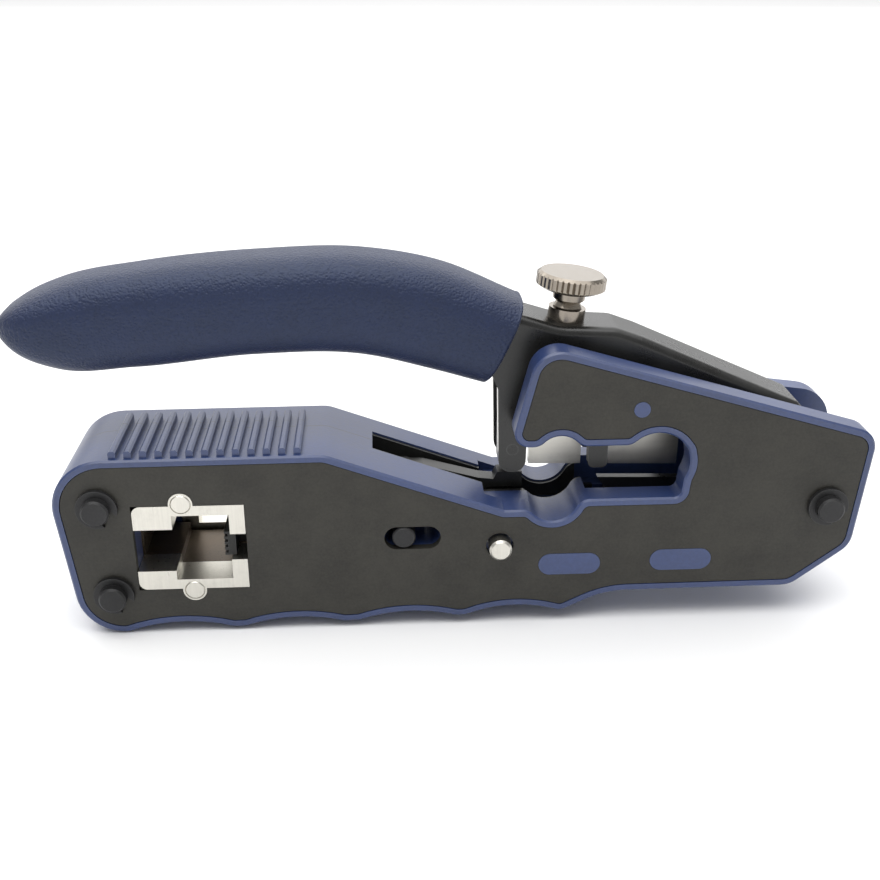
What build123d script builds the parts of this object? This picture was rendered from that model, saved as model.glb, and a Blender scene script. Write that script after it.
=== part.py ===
from build123d import *
import os

# A compact pass-through crimping tool for eight-way modular plugs, which also strips
# and cuts the cable. Millimetres, +Z up. The origin is the centre of the plug nest, at
# the middle of the tool's thickness. +X runs along the body to the lever's pivot, and
# the plug goes in along +Y, through the front plate.

# ---- driving dimensions ----
HALF_THICKNESS = 11.0          # from the middle to the rim of either shell
MID_Y = 1.5                    # the shells' seam, the slot's middle and the lever's middle
RIM = 1.3                      # plastic rim round each steel plate
PLATE_THICKNESS = 1.5
PLATE_INSET = 0.1              # how far the plates lie below the rim
PLATE_GAP = 0.12               # gap round each plate
ARM_THICKNESS = 4.5            # plate and plastic wall together beside the lever
SLOT_HALF = 2.8                # half the slot in the top of the body
SIDE_PLATE = 0.8               # thickness of the steel plates that line the slot

NEST_WIDTH = 9.4               # along X
NEST_HEIGHT = 12.0             # along Z, for a plug 11.7 wide
LATCH_DEPTH = 6.1
LATCH_LOW = -4.3
LATCH_HIGH = 3.5
PRESSER_HALF = 3.9             # half the height of the way the presser comes in by

PIN_RADIUS = 2.3
RUNNING = 0.05                 # radial clearance of a running fit
JAW_PIN_UPPER = (-16.5, 7.8)
JAW_PIN_LOWER = (-15.4, -8.5)
PIVOT = (105.4, 5.0)
LOCK_PIN = (49.8, -1.1)
LOCK_RADIUS = 1.9
LOCK_HOLE = 2.35               # radius of the plates' holes round the lock pin
SLOT_PIN = (33.6, 0.8)
SLOT_PIN_RADIUS = 1.95
GUIDE_SLOT = (30.3, 39.8)      # ends of the guide slot in the plates, along X
GUIDE_SLOT_WIDTH = 4.2
ROCKER_PIN = (33.84, 6.2)
ROCKER_PIN_RADIUS = 1.5
PEG = (72.5, 23.2)
PEG_RADIUS = 1.35
TENONS = ((61.8, -5.0), (81.0, -4.7))
TENON_SIZE = (10.6, 4.0)

LEVER_HALF = 5.2               # half the channel's width
STEEL = 1.8                    # the channel's wall
FOLD_RADIUS = 1.4              # outside radius of the channel's folds
SCREW_LEAN = 6.0               # the thumb screw's lean towards +X, in degrees
SCREW_FOOT = (61.3, 34.6)      # where the screw's axis leaves the channel

DIE_PINS = ((-3.0, 8.1), (-1.9, -8.1))
DIE_PIN_RADIUS = 1.7
DIE_BACK = -5.0                # depth where the die halves end and the nest block starts
NEST_BACK = 6.7
PRESSER_SPAN = (1.0, NEST_BACK)
PRESSER_FACE = 3.3
NOSE_HALF = 2.2                # half the height of the presser's narrow front part
NOSE_BACK = 5.4
NOSE_FRONT = -9.6
PRESSER_BACK = 12.6
TRIM_SPAN = (6.8, 7.6)
KEY_INSET = 0.05               # how far the keys' faces lie below the rim
BODY_TOP = 14.9 + RIM          # the plates' top edge and the rim over it
ROCKER_SPAN = (0.0, 3.0)
ROCKER_PIN_ENDS = (-6.9, 8.4)
ROCKER_PAD = 7.55              # top of the rocker's long arm, under the nose
FORK_LEAN = -2.5
FORK_HALF = SLOT_PIN_RADIUS + 0.2
NOSE_RIVET = (52.4, 13.4)
LOWER_BLADE = (0.0, 1.4)
LOWER_RIVETS = ((72.5, -0.6), (80.0, -0.6))
LOWER_RIVET_RADIUS = 1.0
LOWER_RIVET_END = -3.3
BLADE_SPAN = (1.6, 3.2)
BLADE_RIVETS = ((73.2, 19.6), (79.6, 19.6))
STRIP_RIVET = (59.4, 18.3)
STRIP_RIVET_RADIUS = 0.8
BLADE_RIVET_RADIUS = 1.1
NOSE_RIVET_RADIUS = 1.0
TRIM_SCREW_X = 9.0
TRIM_SCREW_Z = (-2.4, 2.4)
TRIM_SCREW_RADIUS = 0.8
TRIM_SCREW_DEPTH = 3.0         # how deep the trim blade's screws go into the presser
SHANK_RADIUS = 2.0
HEAD = (5.9, 5.6, 8.3)         # radius, underside and top, up from the web
KNURLS = 38
CARRIER_X = 5.4
CARRIER_Y = 4.8
CARRIER_LOW = -18.0
CARRIER_HIGH = -6.0
SPRING_X = 42.6
SPRING_RADIUS = 1.9
SPRING_WIRE = 0.3
SPRING_TURNS = 6
SPRING_PITCH = 1.5
PIN_TIP = -13.3
PIN_HEAD = 12.1
RING_GROOVE = 1.9
LOCK_ENDS = (-12.9, 9.0)
GRIP_HALF = 8.4
GRIP_ROUND = 5.0               # radius of the sleeve's long edges
GRIP_OUTLINE = (
    (-31.5, 42.0, 5.3),        # free end
    (11.0, 47.4, 60.0),
    (34.5, 47.4, 30.0),
    (70.0, 31.8, 5.5),
    (66.0, 20.1, 5.5),
    (21.4, 31.9, 40.0),        # hollow of the fingers' side
    (-19.5, 27.9, 12.0),
    (-31.5, 33.3, 5.3),
)
GRIP_END = ((52.6, 39.6), (52.6, 33.0), (47.4, 24.6))   # the end face, from its top down

FRONT = -HALF_THICKNESS
BACK = HALF_THICKNESS
PLATE_FRONT = FRONT + PLATE_INSET
PLATE_BACK = PLATE_FRONT + PLATE_THICKNESS
CHEEK_NEAR = MID_Y - LEVER_HALF
CHEEK_FAR = MID_Y + LEVER_HALF
SLOT_NEAR = MID_Y - SLOT_HALF
SLOT_FAR = MID_Y + SLOT_HALF
LINED_NEAR = SLOT_NEAR - SIDE_PLATE
LINED_FAR = SLOT_FAR + SIDE_PLATE
ARM_NEAR = FRONT + ARM_THICKNESS
ARM_FAR = BACK - ARM_THICKNESS + 0.4

SCREW_AXIS = Pos(SCREW_FOOT[0], MID_Y, SCREW_FOOT[1]) * Rot(0, SCREW_LEAN, 0)

# The plates' outline, as (x, z, radius of the corner), anticlockwise from the heel.
OUTLINE = (
    (-19.9, -14.9, 6.5),       # heel
    (60.5, -12.95, 0),         # end of the finger grooves
    (68.0, -9.3, 18.0),
    (100.3, -9.2, 3.0),
    (109.3, -2.2, 3.0),
    (111.1, 17.0, 2.5),        # nose, behind the pivot
    (56.4, 32.9, 3.5),         # top of the upper arm
    (52.8, 18.2, 1.2),         # tip of the upper arm
    (82.5, 18.2, 3.0),         # inner end of the cable window
    (81.3, 5.9, 2.6),
    (63.6, 5.9, 0),            # floor of the window, up to the cable saddle
    (54.0, 4.2, 0),
    (50.2, 4.2, 2.0),          # landing for the lever's tongues
    (20.6, 15.1, 4.0),         # top of the slope
    (-23.4, 14.9, 7.5),
)
GROOVE_CUSPS = ((-14.2, -14.8), (5.2, -14.6), (24.4, -14.2), (43.3, -13.6), (60.5, -12.95))
GROOVE_DEPTH = 1.6
EDGE_RADIUS = 1.2              # least radius of any outward corner
STRIP_ARCH = (59.5, 15.0, 5.1)   # x, z and radius of the arch over the strip blade
CUT_ARCH = (75.7, 13.5, 6.8)
SADDLE = (58.6, 7.8, 5.8)
REAR_NOSE = ((97.0, 19.1), (108.4, 17.6), (110.8, 9.0))   # the rear arm's top and rounder nose

RIB_COUNT = 13
RIB_PITCH = 2.48
RIB_START = -13.3
RIB_SIZE = (1.2, 16.6, 1.35)     # across, along Y, height
RIB_MIDDLE_Y = -1.9


# ---- helpers ----
def slab(outline, y_low, y_high):
    """A face drawn in X and Z, made solid between two depths."""
    return Rot(90, 0, 0) * Pos(0, 0, -y_high) * extrude(outline, y_high - y_low)


def rod(place, radius, y_low, y_high):
    """A round bar along Y at (x, z)."""
    return slab(Pos(*place) * Circle(radius), y_low, y_high)


def ring(place, outer, inner, y_low, y_high):
    return rod(place, outer, y_low, y_high) - rod(place, inner, y_low - 1, y_high + 1)


def block(x_low, x_high, y_low, y_high, z_low, z_high):
    size = (x_high - x_low, y_high - y_low, z_high - z_low)
    middle = ((x_low + x_high) / 2, (y_low + y_high) / 2, (z_low + z_high) / 2)
    return Pos(*middle) * Box(*size)


def patch(x_low, x_high, z_low, z_high):
    """A rectangle in X and Z."""
    return Pos((x_low + x_high) / 2, (z_low + z_high) / 2) * Rectangle(x_high - x_low, z_high - z_low)


def polygon(*points):
    return make_face(Polyline(*points, close=True))


def round_corner(face, place, radius):
    """Round the corner of a face that lies nearest to a place."""
    nearest = min(face.vertices(), key=lambda v: (v.X - place[0]) ** 2 + (v.Y - place[1]) ** 2)
    return fillet(nearest, radius)


def obround(place, length, width):
    return Pos(*place) * SlotOverall(length, width)


def rounded(corners):
    """A polygon from (x, z, radius of the corner)."""
    face = polygon(*[(x, z) for x, z, _ in corners])
    for x, z, radius in corners:
        if radius:
            face = round_corner(face, (x, z), radius)
    return face


# ---- outlines ----
def plate_outline():
    face = rounded(OUTLINE)
    for start, end in zip(GROOVE_CUSPS, GROOVE_CUSPS[1:]):
        half = Vector(end[0] - start[0], end[1] - start[1]) / 2
        radius = (half.length ** 2 + GROOVE_DEPTH ** 2) / (2 * GROOVE_DEPTH)
        down = Vector(half.Y, -half.X).normalized() * (radius - GROOVE_DEPTH)
        centre = Vector(start[0], start[1]) + half + down
        face -= Pos(centre.X, centre.Y) * Circle(radius)
    for x, z, radius in (STRIP_ARCH, CUT_ARCH, SADDLE):
        face -= Pos(x, z) * Circle(radius)
    return offset(offset(face, -EDGE_RADIUS), EDGE_RADIUS)


def lever_room():
    """The open space between the two arms, where the lever swings."""
    room = patch(49.0, 110.1, 12.0, 50.0)
    room += patch(47.4, 55.7, 4.85, 20.0)
    room += patch(64.6, 110.1, 2.6, 13.0)
    room += patch(90.0, 110.1, -1.2, 8.0)
    room += patch(100.0, 115.0, 8.0, 50.0)
    return room


def mechanism_room():
    """The slot under the top of the body that holds the push bar, the rocker and the blades."""
    room = patch(24.5, 55.5, -7.5, 4.9)
    room += patch(28.6, 55.5, 2.0, 20.0)
    room += patch(53.0, 68.0, 0.6, 20.0)
    room += patch(14.0, 30.0, -2.7, 4.3)
    return room


def cutting_room():
    """The slot beside the fixed cutting edge."""
    return patch(66.0, 83.7, -3.0, 20.0)


def nest_seat():
    return patch(-11.6, 15.2, -8.3, 8.3)


def die_window():
    """The opening that the die halves fill in the front shell and the front plate."""
    return patch(-11.2, 7.4, -7.9, 7.9) + ears(2.1)


def rear_window():
    return patch(-6.5, 9.5, -7.1, 7.1)


def ears(radius):
    """The round ears of the die halves."""
    discs = Sketch()
    for place in DIE_PINS:
        discs += Pos(*place) * Circle(radius)
    return discs


def shared_bores():
    """Every round hole and slot that runs through the shells and the plates."""
    holes = Part()
    for place in (JAW_PIN_UPPER, JAW_PIN_LOWER, PIVOT):
        holes += rod(place, PIN_RADIUS, FRONT - 1, BACK + 1)
    holes += rod(LOCK_PIN, LOCK_RADIUS + RUNNING, FRONT - 1, BACK + 1)
    middle = sum(GUIDE_SLOT) / 2
    length = GUIDE_SLOT[1] - GUIDE_SLOT[0]
    holes += slab(obround((middle, SLOT_PIN[1]), length, GUIDE_SLOT_WIDTH), FRONT - 1, BACK + 1)
    return holes


# ---- shells and plates ----
def shell(outline, plate, y_rim, y_arm, y_slot):
    """One shell: a rim round the plate, the lever's room, the slot, the keys and the ribs."""
    outwards = -1 if y_rim < 0 else 1
    low, high = sorted((y_rim, MID_Y))
    past_seam = MID_Y - outwards
    floor = y_rim - outwards * (PLATE_INSET + PLATE_THICKNESS)
    body = slab(outline, low, high)
    rim_edges = body.edges().filter_by(lambda e: abs(e.center().Y - y_rim) < 0.01)
    body = chamfer(rim_edges, 0.3)
    body -= slab(offset(plate, PLATE_GAP), *sorted((y_rim + outwards, floor)))
    body -= slab(lever_room(), *sorted((y_arm, past_seam)))
    body -= slab(mechanism_room(), *sorted((y_slot, past_seam)))
    body -= rod(ROCKER_PIN, ROCKER_PIN_RADIUS, *ROCKER_PIN_ENDS)
    for place in TENONS:
        body += slab(obround(place, *TENON_SIZE), *sorted((y_rim - outwards * KEY_INSET, floor)))
    body += rod(PEG, PEG_RADIUS, *sorted((y_rim - outwards * KEY_INSET, floor)))
    body += ribs(low, high)
    return body - shared_bores()


def front_shell(outline, plate):
    body = shell(outline, plate, FRONT, ARM_NEAR, LINED_NEAR)
    body -= slab(nest_seat(), DIE_BACK, MID_Y + 1) + slab(die_window(), FRONT - 1, DIE_BACK)
    body -= slab(cutting_room(), LOWER_BLADE[0], MID_Y + 1)
    for place in LOWER_RIVETS:
        body -= rod(place, LOWER_RIVET_RADIUS, LOWER_RIVET_END, MID_Y)
    return body


def rear_shell(outline, plate):
    body = shell(outline - low_arm(RIM), plate - low_arm(0), BACK, ARM_FAR, LINED_FAR)
    body -= slab(nest_seat(), 0, TRIM_SPAN[1] + 0.1) + slab(rear_window(), 0, BACK + 1)
    return body - slab(cutting_room(), 0, SLOT_FAR)


def side_plates(plate):
    """The two steel plates that line the slot and carry the rocker's pin."""
    outline = mechanism_room() & offset(plate, RIM - 0.3)
    outline -= lever_room() + nest_seat()
    pair = [slab(outline, LINED_NEAR, SLOT_NEAR), slab(outline, SLOT_FAR, LINED_FAR)]
    holes = shared_bores() + rod(ROCKER_PIN, ROCKER_PIN_RADIUS, *ROCKER_PIN_ENDS)
    return Compound(children=[(one - holes).solids().sort_by(SortBy.VOLUME)[-1] for one in pair])


def low_arm(rise):
    """What the rear arm lacks: its top lies lower and its nose is rounder than the front's."""
    keep = polygon((30, -30), (30, 38.9), (56.4, 31.0), *REAR_NOSE, (120, 9), (120, -30))
    keep = round_corner(keep, REAR_NOSE[1], 5.0)
    if rise:
        keep = offset(keep, rise)
    return patch(35, 140, 5, 60) - keep


def ribs(y_low, y_high):
    """The row of thumb ribs on top of the body, cut at the seam."""
    across, along, height = RIB_SIZE
    top = BODY_TOP
    low = max(y_low, RIB_MIDDLE_Y - along / 2)
    high = min(y_high, RIB_MIDDLE_Y + along / 2)
    row = Part()
    for number in range(RIB_COUNT):
        x = RIB_START + number * RIB_PITCH
        rib = block(x - across / 2, x + across / 2, low, high, top - 0.5, top + height)
        lengthways = rib.edges().filter_by(Axis.Y).sort_by(Axis.Z)[-2:]
        row += chamfer(lengthways, 0.3)
    return row


def steel_plate(plate, y_low, y_high, window):
    """A plate with its window, its holes and the clearance round the lock pin and the keys."""
    body = slab(plate, y_low, y_high)
    body -= rod(LOCK_PIN, LOCK_HOLE, y_low - 1, y_high + 1)
    body -= slab(window, y_low - 1, y_high + 1)
    for place in TENONS:
        body -= slab(obround(place, TENON_SIZE[0] + 0.1, TENON_SIZE[1] + 0.1), y_low - 1, y_high + 1)
    body -= rod(PEG, PEG_RADIUS + 0.05, y_low - 1, y_high + 1)
    return body - shared_bores()


def front_plate(plate):
    return steel_plate(plate, PLATE_FRONT, PLATE_BACK, die_window())


def rear_plate(plate):
    return steel_plate(plate - low_arm(0), -PLATE_BACK, -PLATE_FRONT, rear_window())


# ---- the plug nest ----
def plug_space(past_latch):
    """What the plug and its latch need, seen along the tool's thickness."""
    space = patch(-NEST_WIDTH / 2, NEST_WIDTH / 2, -NEST_HEIGHT / 2, NEST_HEIGHT / 2)
    return space + patch(-NEST_WIDTH / 2 - LATCH_DEPTH - past_latch, 0, LATCH_LOW, LATCH_HIGH)


def die_half(side):
    """One bright die half, above (side 1) or below (side -1) the plug, with its ear."""
    low, high = sorted((0, side * 7.8))
    outline = patch(-11.1, 7.3, low, high)
    outline -= plug_space(1) + patch(0, 8, -2.4, 2.4)
    outline = round_corner(outline, (-11.1, side * 7.8), 1.4)
    ear = DIE_PINS[0] if side > 0 else DIE_PINS[1]
    outline += Pos(*ear) * Circle(2.0) - plug_space(1)
    body = slab(outline, PLATE_FRONT, DIE_BACK)
    return body - rod(ear, DIE_PIN_RADIUS, FRONT - 1, DIE_BACK + 1)


def die_pins():
    pins = []
    for place in DIE_PINS:
        pin = rod(place, DIE_PIN_RADIUS, PLATE_FRONT - 0.1, DIE_BACK)
        front_edge = pin.edges().filter_by(GeomType.CIRCLE).sort_by(Axis.Y)[0]
        pins.append(chamfer(front_edge, 0.2))
    return Compound(children=pins)


def nest_block():
    """The dark block behind the die halves: it holds the plug and guides the presser."""
    body = slab(nest_seat(), DIE_BACK, NEST_BACK)
    body -= slab(plug_space(0), DIE_BACK - 1, NEST_BACK + 1)
    body -= slab(patch(0, 16, -PRESSER_HALF, PRESSER_HALF), *PRESSER_SPAN)
    body -= slab(patch(0, 16, -NOSE_HALF - 0.1, NOSE_HALF + 0.1), DIE_BACK - 1, PRESSER_SPAN[0])
    body -= slab(patch(11.2, 16, -2.7, 4.3), SLOT_NEAR, SLOT_FAR)
    return body


def rear_die():
    """The bright insert in the rear plate, which the plug's nose stops against."""
    body = slab(rear_window(), TRIM_SPAN[1] + 0.1, -PLATE_FRONT)
    return body - slab(patch(-3.4, 4.4, -5.0, 5.0), 0, BACK + 1)


# ---- pins and rings of the frame ----
def frame_pin(place):
    """A through pin, headed behind the rear plate and grooved in front for its ring."""
    pin = rod(place, PIN_RADIUS, PIN_TIP, -PLATE_FRONT)
    pin = chamfer(pin.edges().filter_by(GeomType.CIRCLE).sort_by(Axis.Y)[0], 0.3)
    head = rod(place, 3.4, -PLATE_FRONT, PIN_HEAD)
    head = chamfer(head.edges().filter_by(GeomType.CIRCLE).sort_by(Axis.Y)[-1], 0.3)
    return pin + head - ring(place, 3.0, RING_GROOVE, PLATE_FRONT - 0.85, PLATE_FRONT - 0.05)


def retaining_rings():
    """Open rings that snap into the pins' grooves on the front plate."""
    rings = []
    for place in (JAW_PIN_UPPER, JAW_PIN_LOWER, PIVOT):
        body = ring(place, 3.4, RING_GROOVE, PLATE_FRONT - 0.8, PLATE_FRONT - 0.1)
        mouth = Pos(place[0], 0, place[1]) * Rot(0, 45, 0) * block(0, 5, FRONT - 3, FRONT + 1, -1.5, 1.5)
        rings.append(body - mouth)
    return Compound(children=rings)


def pivot_spacer():
    return ring(PIVOT, 4.2, PIN_RADIUS, ARM_NEAR, CHEEK_NEAR - 0.1)


# ---- lower blade ----
def lower_blade():
    """The fixed cutting edge, which the cutting blade passes like a scissor blade."""
    outline = polygon((69.3, -2.9), (69.3, 4.2), (68.0, 6.1), (83.6, 5.7), (83.6, -2.9))
    body = slab(outline, LOWER_BLADE[0], LOWER_BLADE[1])
    for place in LOWER_RIVETS:
        body -= rod(place, LOWER_RIVET_RADIUS, LOWER_RIVET_END, MID_Y)
    return body


def lower_blade_rivets():
    rivets = [rod(place, LOWER_RIVET_RADIUS, LOWER_RIVET_END, LOWER_BLADE[1]) for place in LOWER_RIVETS]
    return Compound(children=rivets)


# ---- lever ----
def lever_outline():
    tail_and_web = (
        (-22.0, 38.6), (-8.9, 41.2), (10.0, 43.0), (26.0, 43.2), (40.0, 41.2), (53.9, 36.8),
        (59.8, 35.0), (69.2, 34.5), (73.6, 32.9), (101.2, 20.7), (103.2, 18.4), (103.6, 13.0),
    )
    hub_side = ((109.6, 7.0), (109.6, 3.0), (101.6, 2.2), (93.0, 11.5), (84.0, 16.6))
    tab = ((68.8, 16.6), (68.8, 9.7), (65.5, 9.7), (65.3, 16.6))
    tongue = ((54.8, 16.6), (54.7, 9.2), (50.1, 9.2), (49.7, 24.5), (48.4, 27.5))
    tail_under = ((40.4, 30.5), (27.0, 33.7), (10.0, 34.2), (-9.0, 32.6), (-22.0, 31.4))
    face = polygon(*tail_and_web, *hub_side, *tab, *tongue, *tail_under)
    for place in ((54.7, 9.2), (50.1, 9.2)):
        face = round_corner(face, place, 2.2)
    for place in ((68.8, 9.7), (65.5, 9.7), (65.3, 16.6), (68.8, 16.6), (54.8, 16.6)):
        face = round_corner(face, place, 1.0)
    for place in ((109.6, 7.0), (109.6, 3.0), (101.6, 2.2)):
        face = round_corner(face, place, 2.0)
    for place in ((-8.9, 41.2), (10.0, 43.0), (26.0, 43.2), (40.0, 41.2), (53.9, 36.8), (59.8, 35.0)):
        face = round_corner(face, place, 9.0)
    for place in ((69.2, 34.5), (73.6, 32.9)):
        face = round_corner(face, place, 4.0)
    for place in ((101.2, 20.7), (103.2, 18.4)):
        face = round_corner(face, place, 1.2)
    return face


def lever():
    """The folded steel channel: a web along its top and two cheeks, from tail to pivot."""
    outline = lever_outline()
    body = slab(outline, CHEEK_NEAR, CHEEK_FAR)
    top = [e for e in body.edges() if on_top_line(e)]
    body = fillet(top, FOLD_RADIUS)
    under_web = Pos(0, -STEEL * 1.1) * outline
    hollow = under_web + patch(48.0, 56.0, 8.0, 33.0) + patch(100.6, 112.0, 0, 18.7)
    body -= slab(hollow, CHEEK_NEAR + STEEL, CHEEK_FAR - STEEL)
    body -= rod(PIVOT, PIN_RADIUS + RUNNING, CHEEK_NEAR - 1, CHEEK_FAR + 1)
    body -= rod(NOSE_RIVET, NOSE_RIVET_RADIUS, CHEEK_NEAR - 1, CHEEK_FAR + 1)
    for place in BLADE_RIVETS:
        body -= rod(place, BLADE_RIVET_RADIUS, CHEEK_NEAR - 1, CHEEK_FAR + 1)
    return body - along_screw(SHANK_RADIUS + RUNNING, -4, 4)


def on_top_line(edge):
    """Whether an edge of the channel's blank runs along the outside of a fold."""
    middle = edge.center()
    sideways = abs(abs(middle.Y - MID_Y) - LEVER_HALF) < 0.01
    return sideways and -21.5 < middle.X < 103.0 and middle.Z > top_line(middle.X) - 1.0


def top_line(x):
    """Height of the web at x, from its straight stretches."""
    points = ((-22.0, 38.6), (-8.9, 41.2), (10.0, 43.0), (26.0, 43.2), (40.0, 41.2),
              (53.9, 36.8), (59.8, 35.0), (69.2, 34.5), (73.6, 32.9), (101.2, 20.7), (104.0, 17.0))
    for (x0, z0), (x1, z1) in zip(points, points[1:]):
        if x <= x1:
            return z0 + (z1 - z0) * (x - x0) / (x1 - x0)
    return points[-1][1]


def grip():
    """The thick foam-covered sleeve on the lever's tail, cut off square at its inner end."""
    side_view = rounded(GRIP_OUTLINE)
    body = slab(side_view, MID_Y - GRIP_HALF, MID_Y + GRIP_HALF)
    sides = body.edges().filter_by(lambda e: abs(abs(e.center().Y - MID_Y) - GRIP_HALF) < 0.01)
    body = fillet(sides, GRIP_ROUND)
    top, middle, bottom = GRIP_END
    beyond = Polyline(bottom, (bottom[0], 0), (90, 0), (90, 60), (top[0], 60), top)
    body -= slab(make_face(ThreePointArc(top, middle, bottom) + beyond), CHEEK_NEAR - 10, CHEEK_FAR + 10)
    return body - slab(lever_outline(), CHEEK_NEAR, CHEEK_FAR)


def along_screw(radius, low, high):
    """A round bar on the thumb screw's axis, measured up from the web's outer face."""
    return SCREW_AXIS * Pos(0, 0, low) * extrude(Circle(radius), high - low)


def screw_bush():
    return along_screw(3.1, -0.2, 2.4) - along_screw(SHANK_RADIUS + RUNNING, -1, 3) - lever()


def thumb_screw():
    """A knurled head on a waisted neck, with a shank that reaches the strip blade's carrier."""
    radius, low, high = HEAD
    profile = polygon(
        (0, -12.0), (SHANK_RADIUS, -12.0), (SHANK_RADIUS, 2.6), (2.4, 2.6), (2.0, 3.3),
        (2.7, 3.9), (2.8, 4.9), (radius - 0.9, low), (radius - 0.1, low + 0.5),
        (radius - 0.1, high - 0.5), (radius - 0.7, high), (0, high),
    )
    body = revolve(Plane.XZ * profile, Axis.Z)
    teeth = Part()
    for number in range(KNURLS):
        turned = Rot(0, 0, 360 * number / KNURLS)
        teeth += turned * Pos(radius, 0, (low + high) / 2) * Rot(0, 0, 45) * Box(0.5, 0.5, high - low + 1)
    return SCREW_AXIS * (body - teeth)


def screw_clip():
    """The ring under the web that keeps the thumb screw in."""
    return along_screw(3.0, -3.1, -2.5) - along_screw(SHANK_RADIUS, -4, -2)


def carrier_body(spare):
    """The strip blade's carrier, or with some spare the space that it slides in."""
    length = CARRIER_HIGH - CARRIER_LOW
    size = (CARRIER_X + 2 * spare, CARRIER_Y + 2 * spare, length + (8 if spare else 0))
    return SCREW_AXIS * Pos(0, 0, (CARRIER_HIGH + CARRIER_LOW) / 2) * Box(*size)


def strip_carrier():
    body = carrier_body(0) - along_screw(SHANK_RADIUS + RUNNING, -13.5, 0)
    return body - slab(patch(50, 70, 10, 19.4), *BLADE_SPAN) - rod(STRIP_RIVET, STRIP_RIVET_RADIUS, -5, 8)


def strip_blade():
    """The blade over the cable saddle, held up in its carrier."""
    outline = polygon((55.9, 8.3), (55.9, 16.9), (57.4, 16.9), (57.4, 19.4), (61.4, 19.4),
                      (61.4, 16.9), (65.1, 16.9), (65.1, 8.1))
    return slab(outline, *BLADE_SPAN) - rod(STRIP_RIVET, STRIP_RIVET_RADIUS, -5, 8)


def strip_blade_pin():
    return rod(STRIP_RIVET, STRIP_RIVET_RADIUS, MID_Y - CARRIER_Y / 2, MID_Y + CARRIER_Y / 2)


def blade_holder():
    """The block between the cheeks that the cutting blade is riveted in."""
    body = block(55.4, 84.0, CHEEK_NEAR + STEEL, CHEEK_FAR - STEEL, 17.2, 23.6)
    body -= carrier_body(0.06)
    body -= slab(patch(50, 69.0, 10, 18.0), BLADE_SPAN[0] - 0.1, BLADE_SPAN[1] + 0.1)
    body -= slab(patch(70.0, 82.3, 7, 21.5), *BLADE_SPAN)
    for place in BLADE_RIVETS:
        body -= rod(place, BLADE_RIVET_RADIUS, -5, 8)
    return body


def cutting_blade():
    outline = polygon((70.0, 7.95), (70.0, 21.5), (82.3, 21.5), (82.3, 7.65))
    body = slab(outline, *BLADE_SPAN)
    edge = body.edges().filter_by(lambda e: e.center().Z < 8.2).sort_by(Axis.Y)[-1]
    body = chamfer(edge, 0.9)
    for place in BLADE_RIVETS:
        body -= rod(place, BLADE_RIVET_RADIUS, -5, 8)
    return body


def blade_rivets():
    rivets = [rod(place, BLADE_RIVET_RADIUS, CHEEK_NEAR, CHEEK_FAR) for place in BLADE_RIVETS]
    return Compound(children=rivets)


def nose_block():
    """The hard block between the tongues that pushes the rocker down."""
    outline = patch(50.4, 54.4, 9.9, 16.0) + Pos(52.4, 9.9) * Circle(2.0)
    body = slab(outline, SLOT_NEAR + 0.6, SLOT_FAR - 0.6)
    body += block(50.4, 54.4, CHEEK_NEAR + STEEL, CHEEK_FAR - STEEL, 11.5, 16.0)
    return body - rod(NOSE_RIVET, NOSE_RIVET_RADIUS, -5, 8)


def nose_rivet():
    return rod(NOSE_RIVET, NOSE_RIVET_RADIUS, CHEEK_NEAR, CHEEK_FAR)


# ---- rocker and press ----
def rocker():
    """The bell crank: the nose pushes its long arm down and its fork pushes the bar."""
    x, z = ROCKER_PIN
    long_arm = polygon(
        (x - 1.0, z + 3.2), (x + 3.5, z + 3.0), (47.0, 6.5), (49.6, 6.2), (50.3, ROCKER_PAD),
        (54.6, ROCKER_PAD), (54.6, 4.75), (48.6, 4.75), (47.4, 2.9), (45.4, 2.3), (37.9, 2.1),
    )
    fork = Pos(SLOT_PIN[0], SLOT_PIN[1] + 0.6) * Rot(0, 0, FORK_LEAN) * Rectangle(8.4, 8.4)
    mouth = Pos(*SLOT_PIN) * Rot(0, 0, FORK_LEAN) * (
        Pos(0, -3.0) * Rectangle(2 * FORK_HALF, 6.8) + Pos(0, 0.4) * Circle(FORK_HALF))
    outline = long_arm + fork + Pos(x, z) * Circle(3.4)
    outline -= mouth
    outline -= Pos(x, z) * Circle(ROCKER_PIN_RADIUS + RUNNING)
    return slab(outline, *ROCKER_SPAN)


def rocker_pin():
    return rod(ROCKER_PIN, ROCKER_PIN_RADIUS, *ROCKER_PIN_ENDS)


def push_bar():
    """The bar between the rocker's fork and the presser, split at one end for the rocker."""
    low, high = SLOT_NEAR + 0.1, SLOT_FAR - 0.1
    body = block(PRESSER_BACK, 37.4, low, high, -2.6, 4.2)
    body -= block(25.6, 38.0, ROCKER_SPAN[0] - 0.1, ROCKER_SPAN[1] + 0.1, -4, 6)
    body -= rod(ROCKER_PIN, 3.3, low - 1, high + 1)
    return body - rod(SLOT_PIN, SLOT_PIN_RADIUS, low - 1, high + 1)


def slot_pin():
    body = rod(SLOT_PIN, SLOT_PIN_RADIUS, PLATE_FRONT, -PLATE_FRONT)
    ends = body.edges().filter_by(GeomType.CIRCLE)
    return chamfer(ends, 0.25)


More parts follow.
